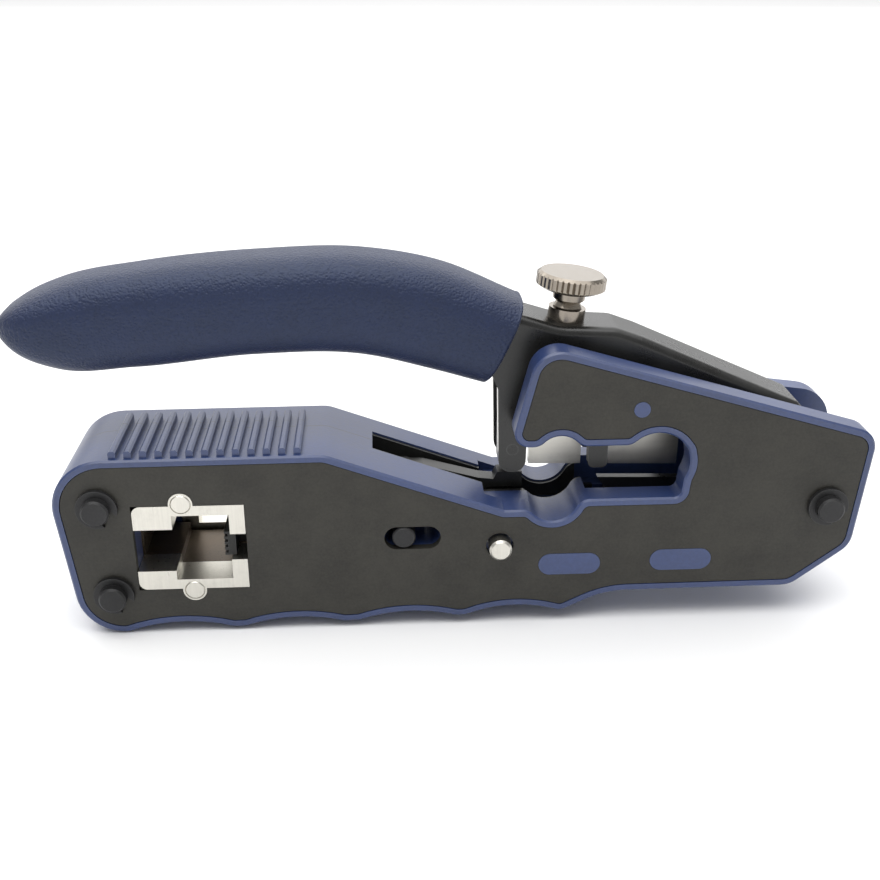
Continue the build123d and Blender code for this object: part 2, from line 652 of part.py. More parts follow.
def presser():
    """The block with eight teeth that drives the plug's contacts home."""
    low, high = PRESSER_SPAN
    half = PRESSER_HALF - 0.1
    body = block(PRESSER_FACE + 1.2, PRESSER_BACK, low + 0.1, high - 0.1, -half, half)
    body += block(PRESSER_FACE + 0.2, PRESSER_BACK, DIE_BACK + 0.1, low + 0.1, -NOSE_HALF, NOSE_HALF)
    body += block(PRESSER_FACE + 0.2, NOSE_BACK, NOSE_FRONT, DIE_BACK + 0.1, -NOSE_HALF, NOSE_HALF)
    for number in range(4):
        z = (number - 1.5) * 1.02
        body -= block(0, PRESSER_FACE + 0.8, FRONT, low, z - 0.28, z + 0.28)
    for number in range(8):
        z = (number - 3.5) * 1.02
        body += block(PRESSER_FACE, PRESSER_FACE + 1.4, low + 1.0, high - 1.2, z - 0.2, z + 0.2)
    return body - trim_screws()


def trim_blade():
    """The blade behind the presser that cuts the wires off flush with the plug."""
    body = block(2.3, 11.6, *TRIM_SPAN, -4.6, 4.6)
    edge = body.edges().filter_by(Axis.Z).sort_by(Axis.X)[:2].sort_by(Axis.Y)[-1]
    body = chamfer(edge, 0.5)
    return body - trim_screws()


def trim_screws():
    ends = (PRESSER_SPAN[1] - TRIM_SCREW_DEPTH, TRIM_SPAN[1])
    return Compound(children=[rod((TRIM_SCREW_X, z), TRIM_SCREW_RADIUS, *ends) for z in TRIM_SCREW_Z])


def return_spring():
    """The coil spring under the rocker's long arm."""
    path = Helix(pitch=SPRING_PITCH, height=SPRING_TURNS * SPRING_PITCH, radius=SPRING_RADIUS)
    wire = sweep(Plane(origin=path @ 0, z_dir=path % 0) * Circle(SPRING_WIRE), path=path, is_frenet=True)
    return Pos(SPRING_X, MID_Y, -7.1) * wire


def lock_pin():
    body = rod(LOCK_PIN, LOCK_RADIUS, LOCK_ENDS[0], LOCK_ENDS[1])
    body = chamfer(body.edges().filter_by(GeomType.CIRCLE), 0.35)
    for y in (LOCK_ENDS[0] + 3.4, LOCK_ENDS[0] + 5.4):
        body -= ring(LOCK_PIN, 3.0, LOCK_RADIUS - 0.25, y, y + 0.6)
    return body


def write(name, solid):
    export_step(solid, "parts/" + name + ".step")


def main():
    os.makedirs("parts", exist_ok=True)
    plate = plate_outline()
    outline = offset(plate, RIM)
    write("front_shell", front_shell(outline, plate))
    write("rear_shell", rear_shell(outline, plate))
    write("front_plate", front_plate(plate))
    write("rear_plate", rear_plate(plate))
    write("die_upper", die_half(1))
    write("die_lower", die_half(-1))
    write("die_pins", die_pins())
    write("nest_block", nest_block())
    write("rear_die", rear_die())
    write("jaw_pin_upper", frame_pin(JAW_PIN_UPPER))
    write("jaw_pin_lower", frame_pin(JAW_PIN_LOWER))
    write("pivot_pin", frame_pin(PIVOT))
    write("retaining_rings", retaining_rings())
    write("side_plates", side_plates(plate))
    write("pivot_spacer", pivot_spacer())
    write("lower_blade", lower_blade())
    write("lower_blade_rivets", lower_blade_rivets())
    write("rocker_pin", rocker_pin())
    write("return_spring", return_spring())
    write("lever", lever())
    write("grip", grip())
    write("screw_bush", screw_bush())
    write("blade_holder", blade_holder())
    write("cutting_blade", cutting_blade())
    write("blade_rivets", blade_rivets())
    write("nose_block", nose_block())
    write("nose_rivet", nose_rivet())
    write("strip_carrier", strip_carrier())
    write("strip_blade", strip_blade())
    write("strip_blade_pin", strip_blade_pin())
    write("thumb_screw", thumb_screw())
    write("screw_clip", screw_clip())
    write("rocker", rocker())
    write("push_bar", push_bar())
    write("slot_pin", slot_pin())
    write("presser", presser())
    write("trim_blade", trim_blade())
    write("trim_screws", trim_screws())
    write("lock_pin", lock_pin())


main()
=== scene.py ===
import math

import bpy
import numpy as np
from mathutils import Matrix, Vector


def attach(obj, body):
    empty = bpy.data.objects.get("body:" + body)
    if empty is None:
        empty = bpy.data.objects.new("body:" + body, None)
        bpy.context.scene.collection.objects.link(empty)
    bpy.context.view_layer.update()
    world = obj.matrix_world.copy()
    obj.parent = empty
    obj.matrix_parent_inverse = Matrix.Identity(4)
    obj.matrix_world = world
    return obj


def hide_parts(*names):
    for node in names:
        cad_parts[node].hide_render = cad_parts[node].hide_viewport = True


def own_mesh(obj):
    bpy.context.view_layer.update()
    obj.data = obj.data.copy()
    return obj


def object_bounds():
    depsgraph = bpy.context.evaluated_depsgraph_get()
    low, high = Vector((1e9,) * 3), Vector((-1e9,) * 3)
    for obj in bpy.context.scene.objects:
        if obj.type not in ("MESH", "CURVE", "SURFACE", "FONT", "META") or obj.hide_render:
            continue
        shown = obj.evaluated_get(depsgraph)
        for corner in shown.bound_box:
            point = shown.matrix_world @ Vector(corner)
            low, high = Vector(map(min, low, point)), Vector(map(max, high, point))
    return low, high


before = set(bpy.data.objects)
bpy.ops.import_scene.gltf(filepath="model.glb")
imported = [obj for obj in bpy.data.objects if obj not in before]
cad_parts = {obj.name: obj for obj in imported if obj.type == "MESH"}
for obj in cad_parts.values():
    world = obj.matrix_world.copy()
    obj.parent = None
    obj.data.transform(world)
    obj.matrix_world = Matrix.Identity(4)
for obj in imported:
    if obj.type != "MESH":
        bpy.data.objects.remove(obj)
CAD_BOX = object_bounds()

bl_info = {
    "name": "Plug crimping tool",
    "version": (1, 0, 0),
    "blender": (4, 5, 0),
    "location": "3D View > Sidebar > Crimper",
    "description": "Finishes for a compact crimping tool for modular plugs",
    "category": "Object",
}

MID_Y = 0.0015                    # the seam's depth and the lever's middle
SPRING_FOOT = (0.0426, MID_Y, -0.0071)
SEAM_SHADE_HALF = 0.0001                # half the width of the painted shade along the seam between the shells
BARE_BEFORE_X = 0.0525            # the tongues' edges lie before this, and below the next
BARE_BELOW_Z = 0.0255

RUBBED_PLASTIC = (0.10, 0.125, 0.20, 1.0)
FOAM_PIT = (0.022, 0.031, 0.078, 1.0)
PLATE_SCUFF = (0.075, 0.066, 0.048, 1.0)
RUBBED_PLATE = (0.20, 0.20, 0.19, 1.0)
RUBBED_OXIDE = (0.17, 0.17, 0.17, 1.0)

SOFTBOX_PLACE = (0.0, 0.6, 1.8)
SOFTBOX_SIZE = (3.2, 3.2)
BACK_PLACE = (0.1, 1.3, 0.7)
BACK_AIM = (0.03, 0.0, 0.0)
BACK_SIZE = (2.6, 1.0)
KEY_PLACE = (-0.05, -0.20, 0.55)
KEY_AIM = (0.04, 0.0, 0.01)
KEY_SIZE = (0.5, 0.4)
VIEWER_PLACE = (0.0302, -0.18386, 0.09507)
VIEWER_DOWN = 23.8                # how far the camera looks down and turns, in degrees
VIEWER_TURN = -3.13
FLOOR_HALF = 3.0
FLOOR_GAP = 0.0002                # between the tool and the floor


# ---- settings ----
def colour(name, description, default):
    """An opaque colour setting."""
    return bpy.props.FloatVectorProperty(
        name=name, description=description, default=(*default, 1.0), size=4,
        min=0.0, max=1.0, subtype="COLOR")


class CrimperFinish(bpy.types.PropertyGroup):
    plastic: colour("Plastic", "Moulded shells", (0.027, 0.048, 0.142))
    foam: colour("Foam", "Sleeve on the lever", (0.004, 0.009, 0.038))
    plate: colour("Plates", "Blackened plates let into the shells", (0.028, 0.027, 0.023))
    oxide: colour("Black oxide", "Lever and fixed edge", (0.024, 0.024, 0.023))
    bronzed: colour("Bronzed steel", "Block inside the plug nest", (0.085, 0.062, 0.040))
    pins: colour("Pins", "Through pins and their rings", (0.028, 0.028, 0.029))
    steel: colour("Bright steel", "Dies, blades and lock pin", (0.66, 0.64, 0.58))
    nickel: colour("Nickel", "Thumb screw and its collar", (0.286, 0.2535, 0.2145))
    speckle: bpy.props.FloatProperty(
        name="Speckle size", description="Grain of the moulded plastic",
        default=0.0006, min=0.0001, max=0.005, unit="LENGTH")
    cells: bpy.props.FloatProperty(
        name="Foam cells", description="Size of the foam's cells",
        default=0.00045, min=0.0002, max=0.004, unit="LENGTH")


class CrimperGrip(bpy.types.PropertyGroup):
    width: bpy.props.FloatProperty(
        name="Width", description="Width of the foam sleeve across the tool",
        default=0.0166, min=0.008, max=0.0168, unit="LENGTH")
    squareness: bpy.props.FloatProperty(
        name="Squareness", description="2 is an ellipse in section, higher is squarer",
        default=2.9, min=2.0, max=6.0)


class CrimperSpring(bpy.types.PropertyGroup):
    radius: bpy.props.FloatProperty(
        name="Coil", description="Radius to the middle of the wire", default=0.0019, min=0.001, max=0.002,
        unit="LENGTH")
    wire: bpy.props.FloatProperty(
        name="Wire", description="Radius of the wire", default=0.0003, min=0.0001, max=0.0003, unit="LENGTH")
    turns: bpy.props.IntProperty(name="Turns", description="Number of coils", default=6, min=2, max=12)
    height: bpy.props.FloatProperty(
        name="Height", description="Height of the coils at rest", default=0.009, min=0.004, max=0.009,
        unit="LENGTH")
    pressed: bpy.props.FloatProperty(
        name="Pressed", description="Share of the height left at the rocker's longer limit",
        default=0.62, min=0.3, max=1.0)


class CrimperStage(bpy.types.PropertyGroup):
    lens: bpy.props.FloatProperty(
        name="Lens", description="Focal length on a 36 mm sensor", default=47.8, min=20, max=200)
    key_power: bpy.props.FloatProperty(
        name="Key light", description="Power of the light in front and above", default=1.4, min=0,
        unit="POWER")
    softbox_power: bpy.props.FloatProperty(
        name="Softbox", description="Power of the wide light overhead", default=52.0, min=0, unit="POWER")
    back_power: bpy.props.FloatProperty(
        name="Back light", description="Power of the low light behind", default=11.0, min=0, unit="POWER")
    sky: bpy.props.FloatProperty(
        name="Surround", description="Strength of the pale surround", default=0.45, min=0)


# ---- shader building ----
def group(name, inputs, outputs):
    """An empty node group with sockets (kind, name, default)."""
    tree = bpy.data.node_groups.new(name, "ShaderNodeTree")
    for kind, label, default in inputs:
        socket = tree.interface.new_socket(label, in_out="INPUT", socket_type=kind)
        socket.default_value = default
    for kind, label in outputs:
        tree.interface.new_socket(label, in_out="OUTPUT", socket_type=kind)
    return tree, tree.nodes.new("NodeGroupInput"), tree.nodes.new("NodeGroupOutput")


def join(tree, node, links):
    """Links or sets each input of a node, from (input, socket or value) pairs."""
    for key, source in links:
        if isinstance(source, bpy.types.NodeSocket):
            tree.links.new(source, node.inputs[key])
        else:
            node.inputs[key].default_value = source


def add(tree, kind, links=(), **settings):
    """A node with its properties set and (input, socket or value) pairs linked."""
    node = tree.nodes.new("ShaderNode" + kind)
    for key, value in settings.items():
        setattr(node, key, value)
    join(tree, node, links)
    return node


def maths(tree, operation, a, b=0.0, clamp=False):
    """The result of one sum on two sockets or values."""
    return add(tree, "Math", [(0, a), (1, b)], operation=operation, use_clamp=clamp).outputs[0]


def blend_colour(tree, factor, a, b):
    """Colour a at factor 0 and colour b at factor 1."""
    return add(tree, "Mix", [(0, factor), (6, a), (7, b)], data_type="RGBA").outputs[2]


def span(tree, value, low, high, to_low=0.0, to_high=1.0):
    """A value's place between low and high, clamped and brought to another span."""
    node = add(tree, "MapRange", [(0, value), (1, low), (2, high), (3, to_low), (4, to_high)], clamp=True)
    return node.outputs[0]


def noise(tree, place, scale, detail=3.0, roughness=0.5):
    """Cloudy noise about 0.5, at a scale in cells per metre."""
    node = add(tree, "TexNoise", [("Vector", place), ("Scale", scale), ("Detail", detail),
                                  ("Roughness", roughness)])
    return node.outputs[0]


def mottle_group():
    """Slow and fine noise on Object coordinates added together, and the fine one as height."""
    tree, start, end = group(
        "Mottle",
        [("NodeSocketVector", "Place", (0, 0, 0)), ("NodeSocketFloat", "Slow scale", 60.0),
         ("NodeSocketFloat", "Fine scale", 1500.0), ("NodeSocketFloat", "Share of fine", 0.4)],
        [("NodeSocketFloat", "Mask"), ("NodeSocketFloat", "Height")])
    slow = noise(tree, start.outputs["Place"], start.outputs["Slow scale"], 4.0)
    fine = noise(tree, start.outputs["Place"], start.outputs["Fine scale"], 2.0)
    mixed = add(tree, "Mix", [(0, start.outputs["Share of fine"]), (2, slow), (3, fine)])
    tree.links.new(mixed.outputs[0], end.inputs["Mask"])
    tree.links.new(fine, end.inputs["Height"])
    return tree


def edge_group():
    """A mask that is 1 on outward edges: the angle between a bevelled and the plain normal."""
    tree, start, end = group(
        "Edge wear",
        [("NodeSocketVector", "Place", (0, 0, 0)), ("NodeSocketFloat", "Width", 0.0003),
         ("NodeSocketFloat", "Break-up", 0.5)],
        [("NodeSocketFloat", "Mask")])
    bevel = add(tree, "Bevel", [("Radius", start.outputs["Width"])], samples=4)
    plain = add(tree, "NewGeometry")
    dot = add(tree, "VectorMath", [(0, bevel.outputs[0]), (1, plain.outputs["Normal"])],
              operation="DOT_PRODUCT").outputs["Value"]
    sharp = span(tree, dot, 0.995, 0.80)
    torn = noise(tree, start.outputs["Place"], 900.0, 3.0)
    kept = span(tree, torn, 0.35, 0.65)
    weight = maths(tree, "MULTIPLY", kept, start.outputs["Break-up"])
    solid = maths(tree, "SUBTRACT", 1.0, start.outputs["Break-up"])
    total = maths(tree, "ADD", weight, solid)
    tree.links.new(maths(tree, "MULTIPLY", sharp, total, True), end.inputs["Mask"])
    return tree


def brushing_group():
    """Noise on Object coordinates with a stretch for each axis, so that unequal ones draw streaks."""
    tree, start, end = group(
        "Brushing",
        [("NodeSocketVector", "Place", (0, 0, 0)), ("NodeSocketVector", "Stretch", (60.0, 3000.0, 3000.0))],
        [("NodeSocketFloat", "Mask")])
    squeezed = add(tree, "VectorMath", [(0, start.outputs["Place"]), (1, start.outputs["Stretch"])],
                   operation="MULTIPLY").outputs["Vector"]
    tree.links.new(noise(tree, squeezed, 1.0, 3.0, 0.6), end.inputs["Mask"])
    return tree


GROUP_MAKERS = {"Mottle": mottle_group, "Edge wear": edge_group, "Brushing": brushing_group}
GROUPS = {}


def use(tree, name, links):
    """A shared node group, made once, with its inputs linked or set."""
    if name not in GROUPS:
        GROUPS[name] = GROUP_MAKERS[name]()
    node = tree.nodes.new("ShaderNodeGroup")
    node.node_tree = GROUPS[name]
    join(tree, node, links)
    return node


def material(name):
    """A new node material: its tree, its Principled shader and its Object coordinates."""
    mat = bpy.data.materials.new(name)
    mat.use_nodes = True
    tree = mat.node_tree
    shader = tree.nodes["Principled BSDF"]
    place = add(tree, "TexCoord").outputs["Object"]
    return mat, tree, shader, place


def bump(tree, shader, height, depth, strength):
    """Small relief of a depth in metres on a shader."""
    node = add(tree, "Bump", [("Height", height), ("Distance", depth), ("Strength", strength)])
    tree.links.new(node.outputs[0], shader.inputs["Normal"])


def scaled(rgba, factor):
    """A colour made lighter or darker, and opaque."""
    return (rgba[0] * factor, rgba[1] * factor, rgba[2] * factor, 1.0)


def plastic_finish(finish):
    """Satin moulded plastic: spark-eroded grain, paler rubbed edges, slow colour drift, and painted shade: a
    dark line along the seam where the shells meet.
    """
    mat, tree, shader, place = material("Moulded plastic")
    grain = use(tree, "Mottle", [("Place", place), ("Slow scale", 45.0),
                                 ("Fine scale", 1.0 / finish.speckle), ("Share of fine", 0.35)])
    edge = use(tree, "Edge wear", [("Place", place), ("Width", 0.00035), ("Break-up", 0.45)])
    base = blend_colour(tree, span(tree, grain.outputs["Mask"], 0.35, 0.65),
                        scaled(finish.plastic, 0.80), scaled(finish.plastic, 1.18))
    worn = blend_colour(tree, maths(tree, "MULTIPLY", edge.outputs["Mask"], 0.35), base,
                        RUBBED_PLASTIC)
    # painted shade: a dark line along the seam, standing in for the shadow in the gap between the shells
    depth = add(tree, "SeparateXYZ", [(0, place)]).outputs[1]
    from_seam = maths(tree, "ABSOLUTE", maths(tree, "SUBTRACT", depth, MID_Y))
    seam_shade = span(tree, from_seam, SEAM_SHADE_HALF * 1.4, SEAM_SHADE_HALF * 0.6)
    seam_shaded = blend_colour(tree, maths(tree, "MULTIPLY", seam_shade, 0.8), worn, scaled(finish.plastic, 0.15))
    tree.links.new(seam_shaded, shader.inputs["Base Color"])
    tree.links.new(span(tree, grain.outputs["Mask"], 0.3, 0.7, 0.30, 0.42), shader.inputs["Roughness"])
    shader.inputs["Specular IOR Level"].default_value = 0.7
    bump(tree, shader, grain.outputs["Height"], 0.00003, 0.5)
    return mat


def foam_finish(finish):
    """Closed foam rubber: cells as Voronoi pits, soft sheen, cloudy colour."""
    mat, tree, shader, place = material("Foam rubber")
    cells = add(tree, "TexVoronoi", [("Vector", place), ("Scale", 1.0 / finish.cells)])
    cloud = use(tree, "Mottle", [("Place", place), ("Slow scale", 160.0),
                                 ("Fine scale", 1800.0), ("Share of fine", 0.5)])
    base = blend_colour(tree, span(tree, cloud.outputs["Mask"], 0.38, 0.62),
                        scaled(finish.foam, 0.80), scaled(finish.foam, 1.18))
    pit = span(tree, cells.outputs["Distance"], 0.0, 0.6)
    tree.links.new(blend_colour(tree, maths(tree, "MULTIPLY", pit, 0.22), base, FOAM_PIT),
                   shader.inputs["Base Color"])
    shader.inputs["Roughness"].default_value = 0.52
    shader.inputs["Sheen Weight"].default_value = 0.12
    shader.inputs["Sheen Roughness"].default_value = 0.4
    shader.inputs["Specular Tint"].default_value = (0.72, 0.82, 1.0, 1.0)
    shader.inputs["Specular IOR Level"].default_value = 0.6
    height = maths(tree, "ADD", maths(tree, "MULTIPLY", pit, 0.5), cloud.outputs["Height"])
    bump(tree, shader, height, 0.00016, 0.8)
    return mat


def plate_finish(finish):
    """Blackened sheet steel: cloudy olive-brown stains, faint scuffs, thinly rubbed cut edges."""
    mat, tree, shader, place = material("Blackened plate")
    stain = use(tree, "Mottle", [("Place", place), ("Slow scale", 140.0),
                                 ("Fine scale", 2600.0), ("Share of fine", 0.35)])
    streak = use(tree, "Brushing", [("Place", place), ("Stretch", (500.0, 60.0, 2200.0))])
    edge = use(tree, "Edge wear", [("Place", place), ("Width", 0.0002), ("Break-up", 0.7)])
    base = blend_colour(tree, span(tree, stain.outputs["Mask"], 0.36, 0.64),
                        scaled(finish.plate, 0.62), scaled(finish.plate, 1.35))
    base = blend_colour(tree, maths(tree, "MULTIPLY", streak.outputs["Mask"], 0.18), base,
                        PLATE_SCUFF)
    worn = blend_colour(tree, maths(tree, "MULTIPLY", edge.outputs["Mask"], 0.12), base,
                        RUBBED_PLATE)
    tree.links.new(worn, shader.inputs["Base Color"])
    tree.links.new(span(tree, stain.outputs["Mask"], 0.3, 0.7, 0.42, 0.60), shader.inputs["Roughness"])
    tree.links.new(span(tree, edge.outputs["Mask"], 0.0, 1.0, 0.25, 0.8), shader.inputs["Metallic"])
    bump(tree, shader, stain.outputs["Height"], 0.00003, 0.45)
    return mat


def stained(tree, place, low, high, rub_width, rub):
    """Stain mask and height, and a colour that runs from low to high and is paler on rubbed edges."""
    stain = use(tree, "Mottle", [("Place", place), ("Slow scale", 120.0),
                                 ("Fine scale", 2400.0), ("Share of fine", 0.3)])
    edge = use(tree, "Edge wear", [("Place", place), ("Width", rub_width), ("Break-up", 0.6)])
    base = blend_colour(tree, span(tree, stain.outputs["Mask"], 0.35, 0.65), low, high)
    worn = blend_colour(tree, maths(tree, "MULTIPLY", edge.outputs["Mask"], rub), base,
                        RUBBED_OXIDE)
    return stain, worn


def oxide_finish(name, tint, roughness, metallic):
    """Black oxide on steel: dark, slightly glossy, with rubbed edges."""
    mat, tree, shader, place = material(name)
    stain, worn = stained(tree, place, scaled(tint, 0.7), scaled(tint, 1.3), 0.00025, 0.35)
    tree.links.new(worn, shader.inputs["Base Color"])
    tree.links.new(span(tree, stain.outputs["Mask"], 0.3, 0.7, roughness - 0.06, roughness + 0.10),
                   shader.inputs["Roughness"])
    shader.inputs["Metallic"].default_value = metallic
    bump(tree, shader, stain.outputs["Height"], 0.00002, 0.4)
    return mat


def lever_finish(finish):
    """The lever's black oxide, rubbed bare on the tongues' edges, which face the free end."""
    tint = finish.oxide
    mat, tree, shader, place = material("Lever black")
    stain, worn = stained(tree, place, scaled(tint, 0.5), tint, 0.0003, 0.30)
    facing = add(tree, "SeparateXYZ", [(0, add(tree, "TexCoord").outputs["Normal"])]).outputs[0]
    where = add(tree, "SeparateXYZ", [(0, place)])
    near_end = span(tree, where.outputs[0], BARE_BEFORE_X + 0.001, BARE_BEFORE_X - 0.001)
    low_down = span(tree, where.outputs[2], BARE_BELOW_Z + 0.0015, BARE_BELOW_Z - 0.0015)
    bare = maths(tree, "MULTIPLY", span(tree, facing, -0.4, -0.8), near_end)
    bare = maths(tree, "MULTIPLY", bare, low_down)
    tree.links.new(blend_colour(tree, bare, worn, scaled(finish.steel, 0.8)), shader.inputs["Base Color"])
    tree.links.new(span(tree, stain.outputs["Mask"], 0.3, 0.7, 0.24, 0.36), shader.inputs["Roughness"])
    tree.links.new(span(tree, bare, 0.0, 1.0, 0.2, 0.9), shader.inputs["Metallic"])
    shader.inputs["Specular IOR Level"].default_value = 0.6
    bump(tree, shader, stain.outputs["Height"], 0.00002, 0.4)
    return mat


def steel_finish(name, tint, roughness, stretch):
    """Ground steel: streaks along one axis vary its colour, gloss and height."""
    mat, tree, shader, place = material(name)
    streak = use(tree, "Brushing", [("Place", place), ("Stretch", stretch)])
    stain = use(tree, "Mottle", [("Place", place), ("Slow scale", 200.0),
                                 ("Fine scale", 1500.0), ("Share of fine", 0.4)])
    base = blend_colour(tree, span(tree, streak.outputs["Mask"], 0.3, 0.7),
                        scaled(tint, 0.94), scaled(tint, 1.04))
    base = blend_colour(tree, span(tree, stain.outputs["Mask"], 0.52, 0.75, 0.0, 0.30), base,
                        scaled(tint, 0.66))
    tree.links.new(base, shader.inputs["Base Color"])
    tree.links.new(span(tree, streak.outputs["Mask"], 0.3, 0.7, roughness - 0.03, roughness + 0.05),
                   shader.inputs["Roughness"])
    shader.inputs["Metallic"].default_value = 1.0
    bump(tree, shader, streak.outputs["Mask"], 0.00001, 0.3)
    return mat


# How each kind is made from the finish settings. A steel's streaks run along its smallest stretch.
MAKERS = {
    "plastic": plastic_finish,
    "foam": foam_finish,
    "plate": plate_finish,
    "lever": lever_finish,
    "oxide": lambda finish: oxide_finish("Black oxide", finish.oxide, 0.30, 0.35),
    "block": lambda finish: oxide_finish("Dull black", scaled(finish.oxide, 0.8), 0.5, 0.2),
    "bronzed": lambda finish: oxide_finish("Bronzed steel", finish.bronzed, 0.30, 0.7),
    "pins": lambda finish: oxide_finish("Dark pins", finish.pins, 0.46, 0.5),
    "steel": lambda finish: steel_finish("Ground steel", finish.steel, 0.30, (2600.0, 2600.0, 120.0)),
    "blade": lambda finish: steel_finish("Blade steel", finish.steel, 0.36, (90.0, 700.0, 700.0)),
    "nickel": lambda finish: steel_finish("Nickel plate", finish.nickel, 0.22, (900.0, 900.0, 900.0)),
}
FINISHES = {}


def finish_for(kind):
    """The material of one kind, made once."""
    if kind not in FINISHES:
        FINISHES[kind] = MAKERS[kind](bpy.context.scene.crimper_finish)
    return FINISHES[kind]


def dress(kind, *nodes):
    """Gives CAD nodes a finish, and fails if one has no mesh."""
    for name in nodes:
        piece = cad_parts[name]
        if not piece.data.vertices:
            raise RuntimeError(name + " has no mesh")
        piece.data.materials.clear()
        piece.data.materials.append(finish_for(kind))


# ---- surfaces ----
def new_piece(name, vertices, faces, kind, body):
    """A finished piece at the origin from arrays of vertices and faces."""
    mesh = bpy.data.meshes.new(name)
    mesh.from_pydata(vertices.tolist(), [], faces)
    mesh.validate()
    mesh.polygons.foreach_set("use_smooth", np.ones(len(mesh.polygons), bool))
    mesh.materials.append(finish_for(kind))
    piece = bpy.data.objects.new(name, mesh)
    bpy.context.scene.collection.objects.link(piece)
    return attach(piece, body)


def tube_faces(rows, columns):
    """Quads of a grid that is closed round its columns."""
    i, j = np.meshgrid(np.arange(rows - 1), np.arange(columns), indexing="ij")
    a = i * columns + j
    b = i * columns + (j + 1) % columns
    return np.stack([a, b, b + columns, a + columns], -1).reshape(-1, 4)


def through(points, t):
    """A smooth curve through points: cubic Hermite spans with Catmull-Rom tangents, spaced by chord.

    t runs from 0 to 1 and may be an array.
    """
    p = np.array(points, float)
    knots = np.concatenate([[0.0], np.cumsum(np.linalg.norm(np.diff(p, axis=0), axis=1))])
    knots /= knots[-1]
    slopes = np.gradient(p, knots, axis=0)
    i = np.clip(np.searchsorted(knots, t, side="right") - 1, 0, len(p) - 2)
    width = (knots[i + 1] - knots[i])[:, None]
    s = ((t - knots[i])[:, None]) / width
    return ((2 * s**3 - 3 * s**2 + 1) * p[i] + (s**3 - 2 * s**2 + s) * width * slopes[i]
            + (3 * s**2 - 2 * s**3) * p[i + 1] + (s**3 - s**2) * width * slopes[i + 1])


# The sleeve's top and underside seen from the side, in millimetres, from the tip to the cut end.
GRIP_TOP = ((-31.4, 36.6), (-30.3, 38.0), (-27.6, 39.9), (-21.0, 42.8), (-8.0, 45.2), (11.3, 46.9),
            (27.4, 47.0), (40.4, 44.6), (53.4, 38.9))
GRIP_UNDER = ((-31.4, 36.6), (-30.8, 35.0), (-28.6, 32.2), (-21.5, 28.7), (-9.7, 28.8), (10.3, 30.7),
              (26.9, 30.4), (38.4, 27.6), (47.0, 25.1))
TIP_CROWDING = 1.15               # above 1, the rows crowd towards the tip
TIP_SHARE = 0.14                  # share of the length over which the width grows from nothing
TIP_BLUNTNESS = 2.4
SWELL = 0.02                      # how much the width swells and draws in along the sleeve
DOME_SQUARENESS = 0.22            # the smaller, the flatter the cut end with its rounded rim
DOME_HEIGHT = 0.0010
DOME_AIM = (0.975, 0.222)         # the way the cut end faces, in X and Z
CROWN_RISE = 0.00005


def grip_surface(width, squareness):
    """The foam sleeve: a superellipse whose top and underside follow two curves.

    At u the section's middle is half-way between the top curve T(u) and the under curve B(u).
    At angle v a point is middle + (T - B)/2 * sgn(sin v)|sin v|^(2/n), and across the tool
    w(u) * sgn(cos v)|cos v|^(2/n). The free end closes to a point, because T and B meet and w
    falls to nothing; the other end closes over a low dome.
    """
    rows, dome, columns = 150, 14, 120
    u = np.linspace(0, 1, rows) ** TIP_CROWDING
    top = through(GRIP_TOP, u) / 1000
    under = through(GRIP_UNDER, u) / 1000
    v = np.linspace(0, 2 * math.pi, columns, endpoint=False)
    power = 2.0 / squareness
    up = np.sign(np.sin(v)) * np.abs(np.sin(v)) ** power
    across = np.sign(np.cos(v)) * np.abs(np.cos(v)) ** power
    taper = (1 - (1 - np.clip(u / TIP_SHARE, 0, 1)) ** TIP_BLUNTNESS) ** 0.5
    half = width / 2 * taper * (1 - SWELL * np.sin(3.0 * math.pi * u))
    # the dome: the last section shrinks to its middle while it moves outwards
    a = np.linspace(0, math.pi / 2, dome + 1)[1:-1]
    shrink = np.cos(a) ** DOME_SQUARENESS
    push = DOME_HEIGHT * np.sin(a)
    middle = (top + under) / 2
    reach = (top - under) / 2
    middle = np.concatenate([middle, middle[-1] + push[:, None] * np.array(DOME_AIM)])
    reach = np.concatenate([reach, reach[-1] * shrink[:, None]])
    half = np.concatenate([half, half[-1] * shrink])
    x = middle[:, :1] + reach[:, :1] * up
    z = middle[:, 1:] + reach[:, 1:] * up
    y = MID_Y + half[:, None] * across
    points = np.stack([x, y, z], -1)[1:]
    body = points.reshape(-1, 3)
    tip = np.array([[top[0, 0], MID_Y, top[0, 1]]])
    crown = np.array([[middle[-1, 0] + CROWN_RISE, MID_Y, middle[-1, 1]]])
    vertices = np.concatenate([body, tip, crown])
    count = len(points)
    faces = tube_faces(count, columns)[:, ::-1].tolist()
    j = np.arange(columns)
    k = (j + 1) % columns
    last = (count - 1) * columns
    faces += np.stack([j, k, np.full(columns, len(body))], -1)[:, ::-1].tolist()
    faces += np.stack([last + k, last + j, np.full(columns, len(body) + 1)], -1)[:, ::-1].tolist()
    return vertices, faces


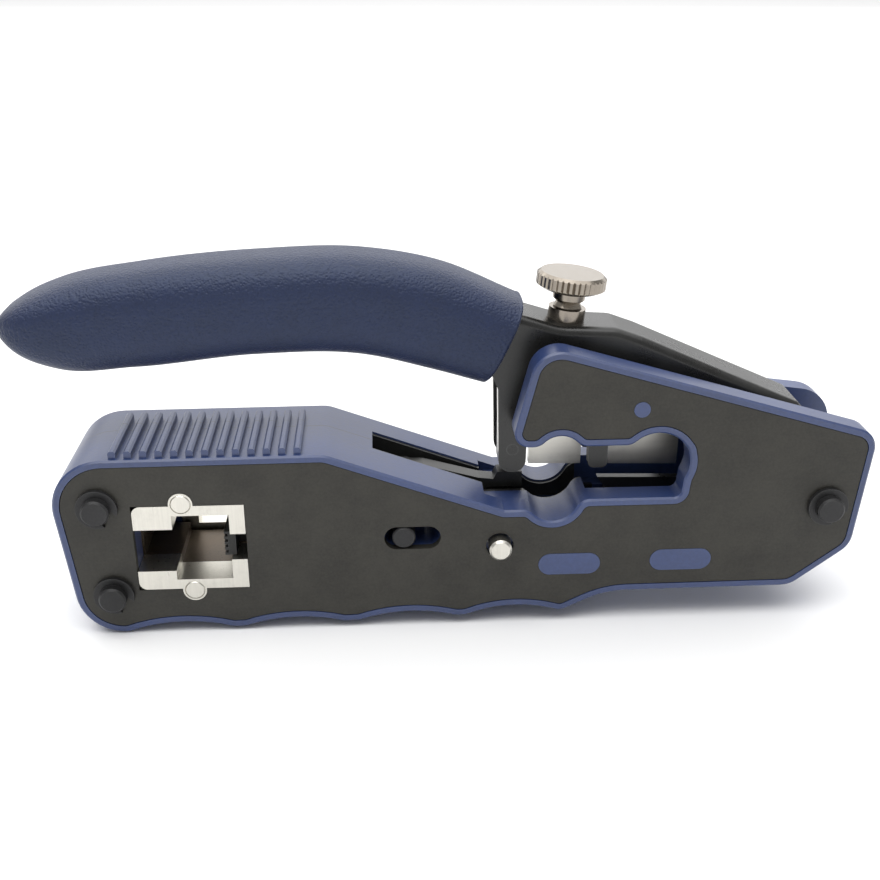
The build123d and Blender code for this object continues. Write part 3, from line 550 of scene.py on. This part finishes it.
def coil_surface(radius, wire, turns, height):
    """A coil spring: a round wire of radius r along a helix of radius R, height h and n turns.

    At t in 0..1 the wire's middle is M = (R cos a, R sin a, h t), with a = 2 pi n t. A point of
    its surface is M + r (N cos v + B sin v), where N points away from the coil's axis and B is
    square to N and to the helix.
    """
    rows, columns = 24 * turns + 1, 10
    t = np.linspace(0, 1, rows)
    a = 2 * math.pi * turns * t
    outward = np.stack([np.cos(a), np.sin(a), np.zeros_like(a)], -1)
    middle = np.array(SPRING_FOOT) + radius * outward + height * t[:, None] * np.array([0, 0, 1])
    unrolled = 2 * math.pi * turns * radius
    along = np.stack([-unrolled * np.sin(a), unrolled * np.cos(a), np.full_like(a, height)], -1)
    along /= np.linalg.norm(along, axis=1, keepdims=True)
    square = np.cross(along, outward)
    v = np.linspace(0, 2 * math.pi, columns, endpoint=False)
    ring = outward[:, None] * np.cos(v)[None, :, None] + square[:, None] * np.sin(v)[None, :, None]
    vertices = (middle[:, None] + wire * ring).reshape(-1, 3)
    faces = tube_faces(rows, columns).tolist()
    faces.append(list(range(columns)))
    faces.append([(rows - 1) * columns + j for j in reversed(range(columns))])
    return vertices, faces


# ---- operators ----
class CRIMPER_OT_shells(bpy.types.Operator):
    """Finish the two moulded shells"""
    bl_idname = "crimper.shells"
    bl_label = "Shells"

    def execute(self, context):
        dress("plastic", "front_shell", "rear_shell")
        return {"FINISHED"}


class CRIMPER_OT_plates(bpy.types.Operator):
    """Finish the two blackened plates"""
    bl_idname = "crimper.plates"
    bl_label = "Plates"

    def execute(self, context):
        dress("plate", "front_plate", "rear_plate")
        return {"FINISHED"}


class CRIMPER_OT_nest(bpy.types.Operator):
    """Finish the plug nest, its bright dies and its presser"""
    bl_idname = "crimper.nest"
    bl_label = "Plug nest"

    def execute(self, context):
        dress("steel", "die_upper", "die_lower", "die_pins", "rear_die")
        dress("bronzed", "nest_block")
        dress("block", "presser")
        dress("blade", "trim_blade")
        dress("pins", "trim_screws")
        return {"FINISHED"}


class CRIMPER_OT_fasteners(bpy.types.Operator):
    """Finish the through pins, their rings and the lock pin"""
    bl_idname = "crimper.fasteners"
    bl_label = "Pins"

    def execute(self, context):
        dress("pins", "jaw_pin_upper", "jaw_pin_lower", "pivot_pin", "retaining_rings", "slot_pin",
              "rocker_pin", "lower_blade_rivets", "strip_blade_pin", "screw_clip")
        dress("steel", "lock_pin")
        return {"FINISHED"}


class CRIMPER_OT_lever(bpy.types.Operator):
    """Finish the folded lever and what is fixed in it"""
    bl_idname = "crimper.lever"
    bl_label = "Lever"

    def execute(self, context):
        dress("lever", "lever", "blade_rivets", "nose_rivet")
        dress("oxide", "lower_blade", "pivot_spacer")
        dress("block", "blade_holder", "nose_block")
        dress("blade", "cutting_blade", "strip_blade")
        dress("pins", "strip_carrier")
        return {"FINISHED"}


class CRIMPER_OT_works(bpy.types.Operator):
    """Finish the rocker, the push bar and the plates that line the slot"""
    bl_idname = "crimper.works"
    bl_label = "Inner works"

    def execute(self, context):
        dress("oxide", "rocker", "push_bar", "side_plates")
        return {"FINISHED"}


class CRIMPER_OT_spring(bpy.types.Operator):
    """Make the return spring, which the rocker's long arm presses down"""
    bl_idname = "crimper.spring"
    bl_label = "Return spring"

    def execute(self, context):
        sizes = context.scene.crimper_spring
        vertices, faces = coil_surface(sizes.radius, sizes.wire, sizes.turns, sizes.height)
        coil = new_piece("return_coil", vertices, faces, "blade", "body")
        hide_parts("return_spring")
        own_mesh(coil)
        return {"FINISHED"}


class CRIMPER_OT_thumb_screw(bpy.types.Operator):
    """Finish the knurled thumb screw and its collar"""
    bl_idname = "crimper.thumb_screw"
    bl_label = "Thumb screw"

    def execute(self, context):
        dress("nickel", "thumb_screw", "screw_bush")
        return {"FINISHED"}


class CRIMPER_OT_grip(bpy.types.Operator):
    """Make the foam sleeve on the lever's tail"""
    bl_idname = "crimper.grip"
    bl_label = "Foam grip"

    def execute(self, context):
        sizes = context.scene.crimper_grip
        vertices, faces = grip_surface(sizes.width, sizes.squareness)
        sleeve = new_piece("foam_grip", vertices, faces, "foam", "lever")
        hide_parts("grip")
        return {"FINISHED"}


def area_light(name, place, aim, size, power):
    """A soft light at a place, turned towards a point."""
    light = bpy.data.lights.new(name, "AREA")
    light.shape = "RECTANGLE"
    light.size, light.size_y = size
    light.energy = power
    lamp = bpy.data.objects.new(name, light)
    lamp.location = place
    lamp.rotation_euler = (Vector(aim) - Vector(place)).to_track_quat("-Z", "Y").to_euler()
    bpy.context.scene.collection.objects.link(lamp)


def lay_floor(height):
    """A wide pale floor at a height."""
    corners = [(x * FLOOR_HALF, y * FLOOR_HALF, height) for x, y in ((-1, -1), (1, -1), (1, 1), (-1, 1))]
    mesh = bpy.data.meshes.new("floor")
    mesh.from_pydata(corners, [], [(0, 1, 2, 3)])
    mat, tree, shader, place = material("Pale floor")
    tone = use(tree, "Mottle", [("Place", place), ("Slow scale", 2.0),
                                ("Fine scale", 300.0), ("Share of fine", 0.2)])
    tree.links.new(blend_colour(tree, tone.outputs["Mask"], (0.90, 0.90, 0.90, 1), (0.93, 0.93, 0.93, 1)),
                   shader.inputs["Base Color"])
    shader.inputs["Roughness"].default_value = 0.9
    mesh.materials.append(mat)
    floor = bpy.data.objects.new("floor", mesh)
    bpy.context.scene.collection.objects.link(floor)


def surround(strength):
    """A plain white world."""
    world = bpy.data.worlds.new("Surround")
    world.use_nodes = True
    background = world.node_tree.nodes["Background"]
    background.inputs[0].default_value = (1, 1, 1, 1)
    background.inputs[1].default_value = strength
    bpy.context.scene.world = world


def viewer(lens):
    """The camera, in front of the tool and a little above it."""
    camera = bpy.data.cameras.new("camera")
    camera.lens = lens
    camera.sensor_width = 36
    camera.clip_start = 0.01
    holder = bpy.data.objects.new("camera", camera)
    holder.location = VIEWER_PLACE
    holder.rotation_euler = (math.radians(90 - VIEWER_DOWN), 0, math.radians(VIEWER_TURN))
    bpy.context.scene.collection.objects.link(holder)
    bpy.context.scene.camera = holder


class CRIMPER_OT_stage(bpy.types.Operator):
    """Make the pale floor, the soft lights and the camera"""
    bl_idname = "crimper.stage"
    bl_label = "Stage"

    def execute(self, context):
        settings = context.scene.crimper_stage
        lay_floor(CAD_BOX[0][2] - FLOOR_GAP)
        surround(settings.sky)
        below = (SOFTBOX_PLACE[0], SOFTBOX_PLACE[1], 0.0)
        area_light("softbox", SOFTBOX_PLACE, below, SOFTBOX_SIZE, settings.softbox_power)
        area_light("back", BACK_PLACE, BACK_AIM, BACK_SIZE, settings.back_power)
        area_light("key", KEY_PLACE, KEY_AIM, KEY_SIZE, settings.key_power)
        viewer(settings.lens)
        context.scene.view_settings.view_transform = "Standard"
        return {"FINISHED"}


class CRIMPER_PT_panel(bpy.types.Panel):
    """Lists the pieces and their sizes and colours"""
    bl_idname = "CRIMPER_PT_panel"
    bl_label = "Crimping tool"
    bl_space_type = "VIEW_3D"
    bl_region_type = "UI"
    bl_category = "Crimper"

    def draw(self, context):
        layout = self.layout
        for settings in (getattr(context.scene, name) for name in SETTINGS):
            for key in settings.bl_rna.properties.keys():
                if key not in ("rna_type", "name"):
                    layout.prop(settings, key)
        for operator in OPERATORS:
            layout.operator(operator.bl_idname)


OPERATORS = (CRIMPER_OT_shells, CRIMPER_OT_plates, CRIMPER_OT_nest, CRIMPER_OT_fasteners,
             CRIMPER_OT_lever, CRIMPER_OT_works, CRIMPER_OT_spring, CRIMPER_OT_thumb_screw,
             CRIMPER_OT_grip, CRIMPER_OT_stage)
SETTINGS = {"crimper_finish": CrimperFinish, "crimper_grip": CrimperGrip,
            "crimper_spring": CrimperSpring, "crimper_stage": CrimperStage}


def register():
    for name, kind in SETTINGS.items():
        bpy.utils.register_class(kind)
        setattr(bpy.types.Scene, name, bpy.props.PointerProperty(type=kind))
    for kind in (*OPERATORS, CRIMPER_PT_panel):
        bpy.utils.register_class(kind)


def unregister():
    for kind in (CRIMPER_PT_panel, *reversed(OPERATORS)):
        bpy.utils.unregister_class(kind)
    for name, kind in SETTINGS.items():
        delattr(bpy.types.Scene, name)
        bpy.utils.unregister_class(kind)


def main():
    """Register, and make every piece."""
    register()
    for operator in OPERATORS:
        group_name, action = operator.bl_idname.split(".")
        getattr(getattr(bpy.ops, group_name), action)()


if __name__ == "__main__":
    main()
